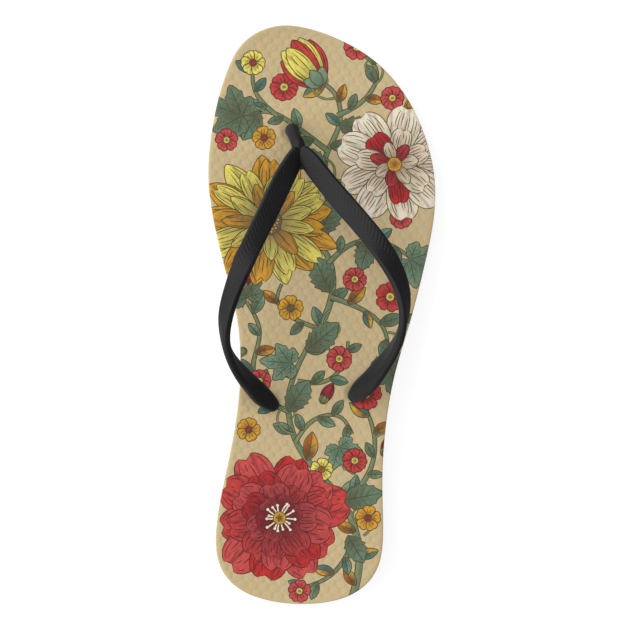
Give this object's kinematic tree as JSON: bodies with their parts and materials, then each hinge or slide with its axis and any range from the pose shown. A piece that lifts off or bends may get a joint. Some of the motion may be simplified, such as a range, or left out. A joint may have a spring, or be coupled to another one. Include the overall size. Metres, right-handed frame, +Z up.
{
  "type": "flip-flop",
  "caption": "Right flip-flop: a printed footbed laminated to a black rubber outsole with cross lugs, and a moulded thong strap plugged through the sole.",
  "frame": {"origin": "centre of the part's box in plan, on the floor under the sole", "axes": "+Y towards the toe, +X towards the little-toe side, +Z up"},
  "size_m": [0.1028, 0.2617, 0.0613],
  "materials": {
    "footbed": "matt expanded rubber with a fine rice-grain emboss and a printed floral pattern on a tan ground",
    "outsole": "matt black moulded rubber",
    "strap": "satin black moulded rubber with fine chevron ribs on its outer face"
  },
  "bodies": {
    "root": {"footbed": "footbed", "outsole": "outsole", "strap": "strap"}
  },
  "joints": []
}
